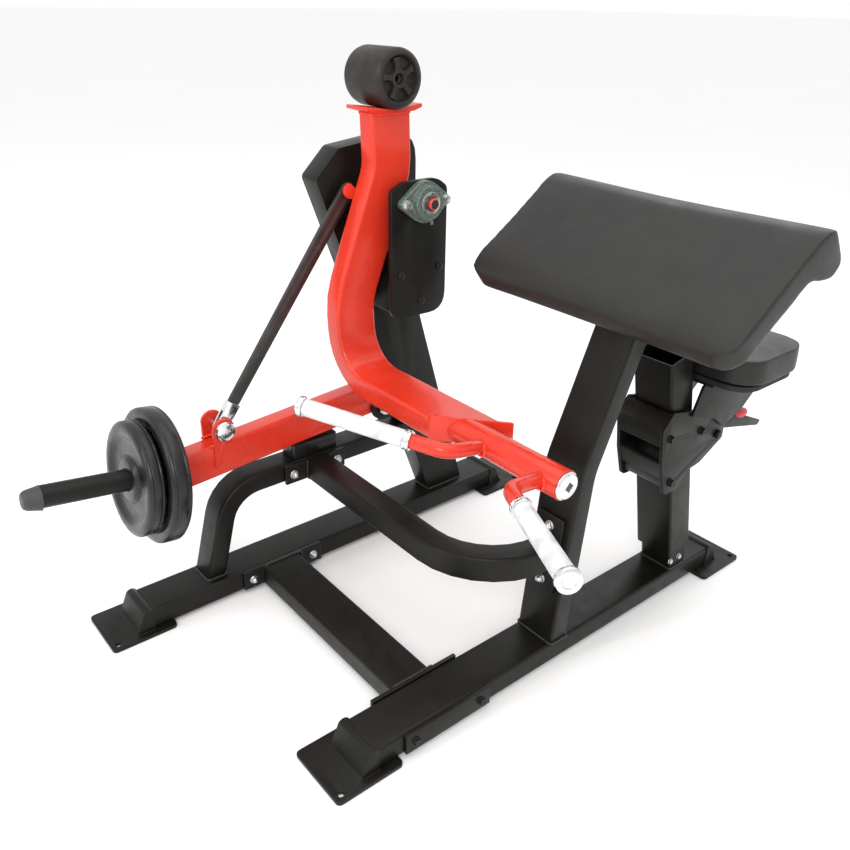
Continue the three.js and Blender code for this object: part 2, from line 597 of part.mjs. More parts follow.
function armTube() {
  const { x, handleY: y, handleZ: z, width, depth } = ARM;
  const route = [corner(x, 568, ARM_TOP), corner(x, 572, 966, 120), corner(x, 467, 698, 170),
    corner(x, y, z, 105), corner(0, y, z)];
  const tube = bentTube(hollowRect(width, depth), route, vec(1, 0, 0));
  const notch = roundX(SLEEVE_RADIUS + 1, x - width, x + width, SHAFT.y, SHAFT.z);
  const open = cut(tube, beyondSlant(0, 1), notch);
  add("swing_arm_tube", join(open, slantPlate(), linkEar()), RED_STEEL);
  const end = 118;
  const round = roundX(CROSS_TUBE_RADIUS, ARM.square - 140, end, y, z, 10, CROSS_TUBE_RADIUS - WALL);
  add("handle_cross_tube", cut(round, beyondSlant(GAP, -1)), RED_STEEL);
  const low = end + GAP;
  const cap = turned([[low, 0], [low, 28], [low + 4, 28], [low + 8, 22], [low + 10, 8], [low + 10, 0]]);
  add("cross_tube_end_cap", cap.translate(0, y, z), CHROME);
}

function armPivot() {
  const { y, z, radius } = SHAFT;
  const sleeve = roundX(SLEEVE_RADIUS, PILLAR.near + 30, CHEEK.far - 13, y, z, 12, radius + GAP);
  add("arm_pivot_sleeve", sleeve, RED_STEEL);
  const end = CHEEK.near + 39;
  const profile = [[PILLAR.far - 42, 0], [PILLAR.far - 42, radius - 2], [PILLAR.far - 40, radius],
    [end, radius], [end, 12], [end + 5, 12], [end + 7, 9], [end + 7, 0]];
  add("pivot_shaft", turned(profile, 20).translate(0, y, z), DARK_STEEL);
  const insert = (low) => roundX(BEARING.insert - 3 * GAP, low, low + 29, y, z, 10, radius + GAP);
  add("near_bearing_insert", insert(CHEEK.near + 4), ZINC);
  add("far_bearing_insert", insert(PILLAR.far - 33), ZINC);
}

// The ear on the arm's far side that the link's upper eye lies against.
function linkEar() {
  const outer = ARM.x - ARM.width / 2;
  const { topY: y, topZ: z } = LINK;
  const ear = new THREE.Shape();
  ear.moveTo(y + 66, z + 24);
  ear.absarc(y, z, 16, Math.PI / 2, 1.5 * Math.PI);
  ear.lineTo(y + 50, z - 30);
  ear.closePath();
  return sidePlate(ear, outer - 7, outer + 1);
}

function counterweight() {
  const { radius, length, shift, y } = COUNTERWEIGHT;
  const low = ARM_TOP + GAP;
  const [wing, rise, thickness] = [72, 9, 8];
  const underside = [[y + 52, low + 3, 4], [y + wing, low + rise, 3]];
  const top = [[y + wing, low + rise + thickness, 3], [y, low + thickness, 0],
    [y - wing, low + rise + thickness, 3]];
  const outline = rounded([[y, low, 0], ...underside, ...top, [y - wing, low + rise, 3],
    [y - 52, low + 3, 4]]);
  add("counterweight_saddle", sidePlate(outline, ARM.x - 36, ARM.x + 36, 2), RED_STEEL);
  const half = length / 2;
  const profile = [[-half, 8], [-half, 17], [6 - half, 20], [6 - half, 42], [-half, 47], [-half, 50],
    [8 - half, radius], [half - 8, radius], [half, 50], [half, 47], [half - 6, 42], [half - 6, 20],
    [half, 17], [half, 8], [-half, 8]];
  const rest = radius / Math.cos(Math.atan(rise / wing));
  add("counterweight", turned(profile, 28).translate(ARM.x + shift, y, low + thickness + rest + GAP), RUBBER);
}

// One handle: the bent bar off the cross tube, with a spinning sleeve between its collar and its end disc.
function handle(place, way) {
  const inner = vec(way * GRIP.innerX, GRIP.innerY, GRIP.innerZ);
  const tip = vec(way * GRIP.tipX, GRIP.tipY, GRIP.tipZ);
  const along = tip.clone().sub(inner);
  const length = along.length();
  along.normalize();
  const root = vec(way * GRIP.rootX, ARM.handleY, ARM.handleZ);
  const bend = inner.clone().addScaledVector(along, -GRIP_STUB.lead);
  const route = [{ at: root, radius: 0 }, { at: bend, radius: GRIP_STUB.bend }, { at: inner, radius: 0 }];
  const stub = bentTube(disc(GRIP_STUB.radius), route, vec(0, 0, 1), 7);
  const coreRoot = inner.clone().addScaledVector(along, -2);
  const core = bar(coreRoot, tip.clone().addScaledVector(along, -2), GRIP_CORE);
  const crossTube = roundX(CROSS_TUBE_RADIUS + GAP, root.x - 60, root.x + 60, ARM.handleY, ARM.handleZ);
  add("handle_bar_" + place, cut(join(stub, core), crossTube), RED_STEEL);
  const frame = new THREE.Group();
  frame.position.copy(inner);
  frame.quaternion.setFromUnitVectors(vec(1, 0, 0), along);
  machine.add(frame);
  const bore = GRIP_CORE + GAP;
  const ring = (low, high, radius) => turned(
    [[low, bore], [low, radius - 1.5], [low + 1.5, radius], [high - 1.5, radius], [high, radius - 1.5],
      [high, bore], [low, bore]], 20);
  add("grip_collar_" + place, ring(GAP, GRIP_COLLAR, 20), CHROME, frame);
  add("grip_sleeve_" + place, ring(GRIP_COLLAR + GAP, length - GRIP_DISC, 17.5), GRIP_SLEEVE, frame);
  const [back, face] = [length - GRIP_DISC + GAP, length - 2 + GAP];
  const endDisc = [[back, bore], [back, 20], [length - 10, 22], [length - 2, 22], [length, 18], [length, 0],
    [face, 0], [face, bore], [back, bore]];
  add("grip_end_disc_" + place, turned(endDisc, 20), CHROME, frame);
}

armTube();
armPivot();
counterweight();
handle("left", 1);
handle("right", -1);

// ---------- weight lever ----------
const lever = new THREE.Group();
lever.position.set(LEVER.x, LEVER.pivotY, LEVER.pivotZ);
lever.rotation.x = LEVER.droop;
machine.add(lever);
lever.updateMatrixWorld(true);

const CLEVIS = { radius: 27, thickness: 7, pin: 8 };
const clevis = lever.worldToLocal(vec(LEVER.x, LINK.bottomY, LINK.bottomZ));

function leverTube() {
  const half = LEVER.width / 2;
  const tube = alongY(hollowRect(LEVER.width, LEVER.height), LEVER.end, -2).translate(0, 0, LEVER.centre);
  const low = LEVER.centre - LEVER.height / 2;
  const plateFront = LEVER.end - LEVER_END_PLATE;
  const plate = box(-half - 3, half + 3, plateFront, LEVER.end + 1, low - 3, low + LEVER.height + 3);
  const outline = new THREE.Shape();
  outline.moveTo(clevis.y + 34, 12);
  outline.absarc(clevis.y, clevis.z, CLEVIS.radius, 0.1 * Math.PI, 0.9 * Math.PI);
  outline.lineTo(clevis.y - 34, 12);
  outline.closePath();
  outline.holes.push(new THREE.Path().absarc(clevis.y, clevis.z, CLEVIS.pin + GAP, 0, 2 * Math.PI));
  const ears = [half - 0.5, -half - CLEVIS.thickness].map(
    (x) => sidePlate(outline, x, x + CLEVIS.thickness + 0.5, 8));
  const sleeve = roundX(24, -28, 28, 0, 0, 12);
  const bore = roundX(LEVER_PIN + GAP, -40, 40, 0, 0);
  add("weight_lever", cut(join(tube, plate, ...ears, sleeve), bore), RED_STEEL, lever);
}

function clevisPin() {
  const outer = LEVER.width / 2 + CLEVIS.thickness + GAP;
  const shaft = turned([[-outer - 7, 0], [-outer - 7, 13], [-outer, 13], [-outer, CLEVIS.pin],
    [outer, CLEVIS.pin], [outer, 21], [outer + 8, 21], [outer + 12, 15], [outer + 12, 0]], 20);
  add("lever_clevis_pin", shaft.translate(0, clevis.y, clevis.z), CHROME, lever);
}

// The horn and its plates are turned about X, then laid along the lever's end and tilted up.
function onHorn(geometry) {
  geometry.rotateZ(-Math.PI / 2).rotateX(-HORN.rise);
  return geometry.translate(0, LEVER.end - LEVER_END_PLATE, HORN.height);
}

function weightPlate(name, start, { radius, bore, thickness }) {
  const web = thickness / 2 - 9;
  const half = thickness / 2;
  const middle = start + half;
  const side = (way) => [[half, bore], [half, 46], [web, 52], [web, radius - 34], [half, radius - 26],
    [half, radius - 8], [half - 6, radius]].map(([along, r]) => [middle + way * along, r]);
  const profile = [...side(-1), ...side(1).reverse(), [middle - half, bore]];
  add(name, onHorn(turned(profile, 36)), RUBBER, lever);
}

function horn() {
  const { radius, length, plug } = HORN;
  const back = box(-90, 90, LEVER.end - LEVER_END_PLATE - GAP, LEVER.end + 100, -100, 160);
  const [collarLow, collarHigh] = [15, 22];
  const tube = onHorn(roundX(radius, -12, length, 0, 0, 12, radius - WALL));
  const collar = onHorn(roundX(44, collarLow, collarHigh, 0, 0, 12, radius - 1));
  add("weight_horn", cut(join(tube, collar), back), BLACK_STEEL, lever);
  const cone = turned([[length + GAP, 0], [length + GAP, radius], [length + plug - 4, radius - 6],
    [length + plug, radius - 10], [length + plug, 0]], 24);
  add("horn_end_plug", onHorn(cone), GREY_PLASTIC, lever);
  const start = collarHigh + GAP;
  weightPlate("large_weight_plate", start, LARGE_PLATE);
  weightPlate("small_weight_plate", start + LARGE_PLATE.thickness + GAP, SMALL_PLATE);
}

leverTube();
clevisPin();
horn();

// ---------- link ----------
function link() {
  const bottom = vec(LINK.bottomX, LINK.bottomY, LINK.bottomZ);
  const top = vec(LINK.topX, LINK.topY, LINK.topZ);
  const up = top.clone().sub(bottom);
  const length = up.length();
  up.normalize();
  const across = vec(1, 0, 0).addScaledVector(up, -up.x).normalize();
  const frame = new THREE.Group();
  frame.position.copy(bottom);
  frame.quaternion.setFromRotationMatrix(new THREE.Matrix4().makeBasis(across, up.clone().cross(across), up));
  machine.add(frame);
  const eye = 17;
  const forkTop = 64;
  const pinRadius = 6;
  const strap = new THREE.Shape();
  strap.moveTo(-14, forkTop + GAP);
  strap.lineTo(14, forkTop + GAP);
  strap.lineTo(eye, length - 8);
  strap.absarc(0, length, eye, -0.1 * Math.PI, 1.1 * Math.PI);
  strap.lineTo(-eye, length - 8);
  strap.closePath();
  strap.holes.push(new THREE.Path().absarc(0, length, pinRadius + GAP, 0, 2 * Math.PI));
  add("link_bar", sidePlate(strap, -4, 4, 8), DARK_STEEL, frame);
  const leg = new THREE.Shape();
  leg.moveTo(15, forkTop);
  leg.lineTo(-15, forkTop);
  leg.absarc(0, 0, 14, Math.PI, 2 * Math.PI);
  leg.closePath();
  const slot = box(-4, 4, -30, 30, -30, 38);
  const bore = roundX(CLEVIS.pin + 1.2, -30, 30, 0, 0); // room for the link's slight sideways slant
  add("link_fork", cut(sidePlate(leg, -9.5, 9.5, 8), slot, bore), CHROME, frame);
  const pin = turned([[-10, 0], [-10, 11], [-4 - GAP, 11], [-4 - GAP, pinRadius], [4, pinRadius],
    [4, 0]], 16);
  add("link_top_pin", pin.translate(0, 0, length), ZINC, frame);
}

link();

// ---------- the part's own frame: the middle of the footprint's box, on the floor ----------
machine.updateMatrixWorld(true);
const extent = new THREE.Box3().setFromObject(machine, true);
const centre = extent.getCenter(new THREE.Vector3());
machine.position.set(-centre.x, -centre.y, -extent.min.z);

export default machine;
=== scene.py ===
"""The looks of a plate-loaded arm curl machine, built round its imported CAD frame. Metres, +Z up."""
import json
import math

import bmesh
import bpy
import numpy as np
from mathutils import Matrix, Vector


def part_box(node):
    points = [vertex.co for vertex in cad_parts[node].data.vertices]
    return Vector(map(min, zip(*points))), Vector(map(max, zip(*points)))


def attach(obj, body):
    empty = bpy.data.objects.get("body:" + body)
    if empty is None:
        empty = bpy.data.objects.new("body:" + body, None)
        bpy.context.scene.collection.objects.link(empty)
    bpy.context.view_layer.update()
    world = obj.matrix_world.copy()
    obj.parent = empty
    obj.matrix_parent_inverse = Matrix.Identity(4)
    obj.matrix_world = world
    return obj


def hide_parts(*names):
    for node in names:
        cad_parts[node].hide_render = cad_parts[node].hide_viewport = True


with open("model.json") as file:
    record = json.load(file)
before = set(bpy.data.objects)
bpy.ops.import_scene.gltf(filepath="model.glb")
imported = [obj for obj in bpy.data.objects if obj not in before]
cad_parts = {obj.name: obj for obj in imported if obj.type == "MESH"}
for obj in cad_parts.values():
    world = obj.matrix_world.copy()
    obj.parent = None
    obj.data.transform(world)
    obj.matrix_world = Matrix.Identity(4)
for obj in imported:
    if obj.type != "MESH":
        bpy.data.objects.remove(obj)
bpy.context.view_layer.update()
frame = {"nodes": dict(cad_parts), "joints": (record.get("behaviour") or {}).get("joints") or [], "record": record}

NODES = frame["nodes"]
RECORD = frame["record"]
JOINTS = {joint["name"]: joint for joint in frame["joints"]}
BODY_OF = {node: body for body, nodes in RECORD["behaviour"]["bodies"].items() for node in nodes}
SLOT_OF = {part["node"]: part["material_slot"] for part in RECORD["subparts"]}
MM = 0.001
PAD_TILT = math.radians(35)
LEVER_DROOP = 0.0733
POST_LEAN = math.radians(5.6)
X, Y, Z = Vector((1, 0, 0)), Vector((0, 1, 0)), Vector((0, 0, 1))


# ---------- node materials ----------
class Graph:
    """A node material built round one Principled shader."""

    def __init__(self, name, **shader):
        self.material = bpy.data.materials.new(name)
        self.material.use_nodes = True
        self.tree = self.material.node_tree
        self.shader = self.tree.nodes["Principled BSDF"]
        for socket, value in shader.items():
            self.shader.inputs[socket.replace("_", " ")].default_value = value
        self.place = self.add("ShaderNodeTexCoord").outputs["Object"]

    def add(self, kind, inputs=None, **settings):
        node = self.tree.nodes.new(kind)
        for name, value in settings.items():
            setattr(node, name, value)
        for socket, value in (inputs or {}).items():
            if isinstance(value, bpy.types.NodeSocket):
                self.tree.links.new(value, node.inputs[socket])
            else:
                node.inputs[socket].default_value = value
        return node

    def drive(self, socket, output):
        self.tree.links.new(output, self.shader.inputs[socket])

    def noise(self, scale, detail=3.0, rough=0.5):
        settings = {"Vector": self.place, "Scale": scale, "Detail": detail, "Roughness": rough}
        return self.add("ShaderNodeTexNoise", settings).outputs["Fac"]

    def cells(self, scale, feature="DISTANCE_TO_EDGE"):
        node = self.add("ShaderNodeTexVoronoi", {"Vector": self.place, "Scale": scale}, feature=feature)
        return node.outputs["Distance"]

    def ranged(self, value, low, high, to_low, to_high):
        inputs = {"Value": value, "From Min": low, "From Max": high, "To Min": to_low, "To Max": to_high}
        return self.add("ShaderNodeMapRange", inputs).outputs["Result"]

    def mix(self, share, first, second):
        node = self.add("ShaderNodeMix", {"Factor": share}, data_type="RGBA")
        for socket, colour in ((node.inputs[6], first), (node.inputs[7], second)):
            if isinstance(colour, bpy.types.NodeSocket):
                self.tree.links.new(colour, socket)
            else:
                socket.default_value = (*colour, 1)
        return node.outputs[2]

    def rounded_normal(self, radius):
        return self.add("ShaderNodeBevel", {"Radius": radius}, samples=6).outputs["Normal"]

    def edges(self, radius):
        """1 on sharp edges and 0 on flat ground: how far the rounded normal leaves the true one."""
        flat = self.add("ShaderNodeNewGeometry").outputs["True Normal"]
        dot = self.add("ShaderNodeVectorMath", {0: self.rounded_normal(radius), 1: flat},
                       operation="DOT_PRODUCT").outputs["Value"]
        return self.ranged(dot, 0.97, 0.75, 0, 1)

    def bump(self, height, distance, strength=1.0, normal=None):
        inputs = {"Height": height, "Distance": distance, "Strength": strength}
        if normal:
            inputs["Normal"] = normal
        return self.add("ShaderNodeBump", inputs).outputs["Normal"]


def powder_coat(name, deep, pale, edge_wear_and_highlight, roughness, peel=0.00008, coat=0.0, gloss=0.3):
    """Sprayed powder: fine orange peel, mottled colour, and a paler line over edges that is partly thin, worn
    powder and partly a painted highlight.
    """
    graph = Graph(name, Coat_Weight=coat, Coat_Roughness=0.1, IOR=1.5, Specular_IOR_Level=gloss)
    mottle = graph.ranged(graph.noise(9, 4), 0.35, 0.65, 0, 1)
    colour = graph.mix(mottle, deep, pale)
    ragged = graph.ranged(graph.noise(70, 5), 0.3, 0.7, 0.35, 1)
    # Paler colour along sharp edges: partly worn, thin powder and partly a painted highlight on the rounded edges.
    edge = graph.add("ShaderNodeMath", {0: graph.edges(0.0016), 1: ragged}, operation="MULTIPLY").outputs[0]
    graph.drive("Base Color", graph.mix(edge, colour, edge_wear_and_highlight))
    low, high = roughness
    graph.drive("Roughness", graph.ranged(graph.noise(35, 5), 0.3, 0.7, low, high))
    normal = graph.bump(graph.noise(14, 2), 0.0006, 0.35, graph.rounded_normal(0.0012))
    graph.drive("Normal", graph.bump(graph.noise(520, 2), peel, 0.7, normal))
    return graph.material


def plated(name, colour, roughness, scratch=0.00003):
    """Plated or brushed metal with hazy patches and fine scratches."""
    graph = Graph(name, Metallic=1.0)
    haze = graph.ranged(graph.noise(45, 6), 0.3, 0.7, 0, 1)
    graph.drive("Base Color", graph.mix(haze, [c * 0.78 for c in colour], colour))
    low, high = roughness
    graph.drive("Roughness", graph.ranged(graph.noise(160, 5), 0.3, 0.7, low, high))
    stretched = graph.add("ShaderNodeMapping", {"Vector": graph.place, "Scale": (40, 900, 900)})
    lines = graph.add("ShaderNodeTexNoise", {"Vector": stretched.outputs[0], "Scale": 1.0, "Detail": 4.0})
    graph.drive("Normal", graph.bump(lines.outputs["Fac"], scratch, 0.6, graph.rounded_normal(0.0007)))
    return graph.material


def vinyl(name):
    """Black upholstery vinyl: pressed leather grain, slow creases, and a sheen that comes and goes."""
    graph = Graph(name, Coat_Weight=0.1, Coat_Roughness=0.26, IOR=1.48, Specular_IOR_Level=0.35)
    cloud = graph.ranged(graph.noise(7, 5, 0.6), 0.3, 0.7, 0, 1)
    grain = graph.cells(520)
    pebble = graph.ranged(grain, 0.0, 0.16, 0, 1)
    ground = graph.mix(cloud, (0.0095, 0.0088, 0.0074), (0.0160, 0.0150, 0.0130))
    graph.drive("Base Color", graph.mix(pebble, (0.008, 0.008, 0.0078), ground))
    graph.drive("Roughness", graph.ranged(graph.noise(16, 6, 0.6), 0.3, 0.7, 0.36, 0.52))
    creases = graph.bump(graph.noise(11, 3), 0.004, 0.25)
    fine = graph.bump(graph.noise(85, 4), 0.0006, 0.35, creases)
    graph.drive("Normal", graph.bump(pebble, 0.00012, 0.55, fine))
    return graph.material


def rubber(name, colour, roughness, grain=0.0001):
    """Moulded rubber with a faint skin, dusty patches and rounded edges."""
    graph = Graph(name, IOR=1.5, Coat_Weight=0.12, Coat_Roughness=0.2, Specular_IOR_Level=0.35)
    dust = graph.ranged(graph.noise(18, 6, 0.65), 0.45, 0.75, 0, 1)
    graph.drive("Base Color", graph.mix(dust, colour, [c * 1.9 + 0.004 for c in colour]))
    low, high = roughness
    graph.drive("Roughness", graph.ranged(graph.noise(40, 5), 0.3, 0.7, low, high))
    wavy = graph.bump(graph.noise(26, 3), 0.0012, 0.4, graph.rounded_normal(0.002))
    graph.drive("Normal", graph.bump(graph.noise(600, 3), grain, 0.6, wavy))
    return graph.material


def cast_iron(name):
    """Painted castings: a sandy surface under thin grey-green paint, darker in its pits."""
    graph = Graph(name, Metallic=0.35)
    pits = graph.noise(240, 6, 0.65)
    paint = graph.mix(graph.ranged(pits, 0.35, 0.6, 0, 1), (0.04, 0.06, 0.05), (0.17, 0.22, 0.19))
    graph.drive("Base Color", graph.mix(graph.edges(0.0014), paint, (0.42, 0.46, 0.42)))
    graph.drive("Roughness", graph.ranged(pits, 0.3, 0.7, 0.55, 0.35))
    graph.drive("Normal", graph.bump(pits, 0.0003, 0.8, graph.rounded_normal(0.0015)))
    return graph.material


def plastic(name, colour, roughness, mottle=0.12, texture=0.00006):
    """Moulded plastic, uneven in colour and gloss; a strong colour mottle, as on the white sleeves, is a painted
    reflection.
    """
    graph = Graph(name, IOR=1.48)
    share = graph.ranged(graph.noise(30, 4), 0.3, 0.7, 0, 1)
    graph.drive("Base Color", graph.mix(share, [c * (1 - mottle) for c in colour], colour))
    low, high = roughness
    graph.drive("Roughness", graph.ranged(graph.noise(60, 5), 0.3, 0.7, low, high))
    graph.drive("Normal", graph.bump(graph.noise(420, 3), texture, 0.6, graph.rounded_normal(0.0008)))
    return graph.material


def weld_metal(name, colour, roughness):
    """A painted weld bead: the coat is glossier and a little uneven over the ripples."""
    graph = Graph(name, IOR=1.5, Coat_Weight=0.15, Specular_IOR_Level=0.35)
    share = graph.ranged(graph.noise(120, 4), 0.35, 0.65, 0, 1)
    graph.drive("Base Color", graph.mix(share, colour, [c * 1.8 + 0.006 for c in colour]))
    graph.drive("Roughness", graph.ranged(graph.noise(90, 3), 0.3, 0.7, roughness, roughness + 0.12))
    graph.drive("Normal", graph.bump(graph.noise(700, 3), 0.0001, 0.7))
    return graph.material


MATERIALS = {
    # The third colour of each coat is its edge colour: partly wear and partly a painted highlight.
    "black": powder_coat("black_powder_coat", (0.0048, 0.0044, 0.0034), (0.0085, 0.0078, 0.0062),
                         (0.080, 0.077, 0.070), (0.32, 0.44), gloss=0.22),
    "red": powder_coat("red_powder_coat", (0.60, 0.030, 0.013), (0.68, 0.037, 0.016), (0.84, 0.14, 0.08),
                       (0.22, 0.32), 0.00005, 0.22, 0.32),
    "chrome": plated("chrome_plate", (0.86, 0.87, 0.88), (0.06, 0.2)),
    "zinc": plated("zinc_plate", (0.72, 0.73, 0.72), (0.22, 0.42)),
    "dark_steel": plated("dark_steel", (0.10, 0.10, 0.095), (0.36, 0.52), 0.00006),
    "cast_iron": cast_iron("bearing_casting"),
    "rubber": rubber("black_rubber", (0.006, 0.006, 0.0058), (0.24, 0.42)),
    "vinyl": vinyl("black_vinyl"),
    # The white sleeves' mottle, up to a third darker in patches, is a painted reflection over a slightly uneven
    # colour.
    "grip_sleeve": plastic("white_sleeve", (0.80, 0.83, 0.84), (0.12, 0.26), 0.34),
    "red_plastic": plastic("red_plastic", (0.50, 0.012, 0.02), (0.3, 0.42)),
    "grey_plastic": plastic("grey_plastic", (0.045, 0.047, 0.045), (0.42, 0.58), 0.3),
    "board": plastic("covered_board", (0.011, 0.0105, 0.010), (0.6, 0.75), 0.4, 0.0003),
}
BLACK_WELD = weld_metal("black_weld", (0.012, 0.012, 0.0115), 0.3)
RED_WELD = weld_metal("red_weld", (0.72, 0.034, 0.016), 0.22)
DRUM_RUBBER = rubber("drum_rubber", (0.011, 0.008, 0.0065), (0.5, 0.68), 0.0003)


# ---------- pieces ----------
def link_piece(name, mesh, body, material):
    piece = bpy.data.objects.new(name, mesh)
    bpy.context.scene.collection.objects.link(piece)
    mesh.materials.clear()
    mesh.materials.append(material)
    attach(piece, body)
    return piece


def soften(bm, limit):
    """Smooth shading, kept sharp across edges steeper than the limit in degrees."""
    bm.normal_update()
    for face in bm.faces:
        face.smooth = True
    for edge in bm.edges:
        edge.smooth = len(edge.link_faces) == 2 and edge.calc_face_angle(0) < math.radians(limit)


def mesh_from(bm, name, limit=32):
    soften(bm, limit)
    mesh = bpy.data.meshes.new(name)
    bm.to_mesh(mesh)
    bm.free()
    return mesh


def centre_of(node):
    low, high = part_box(node)
    return (low + high) / 2


def fine(node, bevel=0.9 * MM, limit=34):
    """A finished copy of a CAD solid, with its sharp edges rounded over, that stands for it."""
    bm = bmesh.new()
    bm.from_mesh(NODES[node].data)
    bmesh.ops.remove_doubles(bm, verts=bm.verts, dist=0.00002)
    bmesh.ops.dissolve_limit(bm, angle_limit=math.radians(0.6), verts=bm.verts, edges=bm.edges)
    sharp = [e for e in bm.edges if len(e.link_faces) == 2 and e.calc_face_angle(0) > math.radians(limit)]
    bmesh.ops.bevel(bm, geom=sharp, offset=bevel, segments=2, profile=0.6, affect="EDGES", clamp_overlap=True)
    slot = SLOT_OF[node]
    piece = link_piece("fine_" + node, mesh_from(bm, node + "_fine"), BODY_OF[node], MATERIALS[slot])
    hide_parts(node)
    return piece


def turned(name, rows, at, axis, body, slot, segments=48, closed=False, material=None):
    """A turned piece. A row is (distance along the axis, radius), with its number of flats if it has any."""
    turn = Z.rotation_difference(axis)
    bm = bmesh.new()
    rings = []
    for along, radius, *flats in rows:
        if radius == 0:
            rings.append([bm.verts.new(at + turn @ Vector((0, 0, along)))] * segments)
            continue
        ring = []
        for k in range(segments):
            angle = 2 * math.pi * k / segments
            reach = radius
            if flats:
                wedge = math.pi / flats[0]
                reach = radius / math.cos(angle % (2 * wedge) - wedge)
            spoke = Vector((reach * math.cos(angle), reach * math.sin(angle), along))
            ring.append(bm.verts.new(at + turn @ spoke))
        rings.append(ring)
    pairs = list(zip(rings, rings[1:]))
    if closed:
        pairs.append((rings[-1], rings[0]))
    for low, high in pairs:
        for k in range(segments):
            corners = [low[k], low[(k + 1) % segments], high[(k + 1) % segments], high[k]]
            distinct = list(dict.fromkeys(corners))
            if len(distinct) > 2:
                bm.faces.new(distinct)
    for ring in (rings[0], rings[-1]):
        if not closed and len(set(ring)) > 2:
            bm.faces.new(ring)
    bmesh.ops.recalc_face_normals(bm, faces=bm.faces)
    return link_piece(name, mesh_from(bm, name), body, material or MATERIALS[slot])


def resampled(points, step, closed):
    """Evenly spaced points along a path."""
    path = points + points[:1] if closed else points
    result = []
    for start, end in zip(path, path[1:]):
        count = max(1, round((end - start).length / step))
        result += [start.lerp(end, k / count) for k in range(count)]
    return result if closed else result + [path[-1]]


def weld(name, points, body, slot="black", radius=3 * MM, closed=True):
    """A rippled weld bead along a path."""
    path = resampled(points, 1.6 * MM, closed)
    sides = 6
    bm = bmesh.new()
    rings = []
    for i, point in enumerate(path):
        before = path[i - 1] if closed or i else point
        after = path[(i + 1) % len(path)] if closed or i < len(path) - 1 else point
        along = (after - before).normalized()
        across = along.orthogonal().normalized()
        up = along.cross(across)
        width = radius * (1 + 0.13 * math.sin(i * 2 * math.pi / 4) + 0.07 * math.sin(i * 0.37))
        if not closed and i in (0, len(path) - 1):
            width *= 0.4
        spokes = [(math.cos(a), math.sin(a)) for a in (2 * math.pi * k / sides for k in range(sides))]
        rings.append([bm.verts.new(point + width * (c * across + s * up)) for c, s in spokes])
    pairs = list(zip(rings, rings[1:])) + ([(rings[-1], rings[0])] if closed else [])
    for low, high in pairs:
        shift = min(range(sides), key=lambda k: (high[k].co - low[0].co).length)
        for k in range(sides):
            near_end = [low[k], low[(k + 1) % sides]]
            bm.faces.new(near_end + [high[(k + 1 + shift) % sides], high[(k + shift) % sides]])
    if not closed:
        bm.faces.new(rings[0])
        bm.faces.new(rings[-1])
    bmesh.ops.recalc_face_normals(bm, faces=bm.faces)
    material = RED_WELD if slot == "red" else BLACK_WELD
    return link_piece(name, mesh_from(bm, name, 80), body, material)


def rectangle(middle, u, v, half_u, half_v, corner=7 * MM, arc=4):
    """The points of a round-cornered rectangle in the plane of u and v."""
    points = []
    for k, (su, sv) in enumerate(((1, 1), (-1, 1), (-1, -1), (1, -1))):
        hub = middle + su * (half_u - corner) * u + sv * (half_v - corner) * v
        for step in range(arc + 1):
            angle = math.pi / 2 * (k + step / arc)
            points.append(hub + corner * (math.cos(angle) * u + math.sin(angle) * v))
    return points


def near(node, test):
    """The box round the node's points that pass a test."""
    points = [v.co for v in NODES[node].data.vertices if test(v.co)]
    low = Vector([min(p[i] for p in points) for i in range(3)])
    high = Vector([max(p[i] for p in points) for i in range(3)])
    return low, high


# ---------- fasteners ----------
def dome_nut(name, at, axis, body, size=6 * MM, slot="zinc", sunk=0.0):
    """A washer and a domed nut, standing on a face. size is the thread's radius."""
    washer = [(-sunk, 0), (-sunk, 2.0 * size), (0.3 * size, 2.0 * size), (0.4 * size, 1.9 * size),
              (0.4 * size, 1.5 * size, 6)]
    nut = [(1.3 * size, 1.5 * size, 6), (1.45 * size, 1.42 * size)]
    dome = [(size * (1.45 + 1.15 * math.sin(a)), 1.3 * size * math.cos(a))
            for a in np.radians([0, 25, 50, 72])]
    return turned(name, washer + nut + dome + [(2.6 * size, 0)], at, axis, body, slot)


def hex_bolt(name, at, axis, body, size=5 * MM, slot="zinc", sunk=0.0):
    """A washer and a chamfered hexagon head with a dished top."""
    washer = [(-sunk, 0), (-sunk, 2.0 * size), (0.35 * size, 2.0 * size), (0.35 * size, 1.6 * size, 6)]
    head = [(1.35 * size, 1.6 * size, 6), (1.6 * size, 1.45 * size), (1.6 * size, 1.15 * size),
            (1.5 * size, 1.05 * size), (1.5 * size, 0)]
    return turned(name, washer + head, at, axis, body, slot)


def button_screw(name, at, axis, body, size=4 * MM, slot="black", socket=True):
    """A low round head with a hexagon socket."""
    crown = [(0, 0), (0, 2.0 * size), (0.35 * size, 2.0 * size), (0.8 * size, 1.6 * size),
             (1.05 * size, 1.0 * size)]
    pit = [(1.05 * size, 0.7 * size, 6), (0.4 * size, 0.66 * size, 6), (0.4 * size, 0)]
    closed_top = [(1.1 * size, 0)]
    return turned(name, crown + (pit if socket else closed_top), at, axis, body, slot)


# ---------- soft goods ----------
def evaluated_copy(piece):
    graph = bpy.context.evaluated_depsgraph_get()
    mesh = bpy.data.meshes.new_from_object(piece.evaluated_get(graph))
    piece.modifiers.clear()
    piece.data = mesh


def evened(move, mesh, passes=70):
    """Spreads the swell over its neighbours, as foam does under a taut cover."""
    pairs = np.empty(len(mesh.edges) * 2, dtype=np.int64)
    mesh.edges.foreach_get("vertices", pairs)
    first, second = pairs.reshape(-1, 2).T
    count = np.bincount(pairs, minlength=len(move))[:, None]
    for _ in range(passes):
        total = np.zeros_like(move)
        np.add.at(total, first, move[second])
        np.add.at(total, second, move[first])
        move = (move + total / count) / 2
    return move


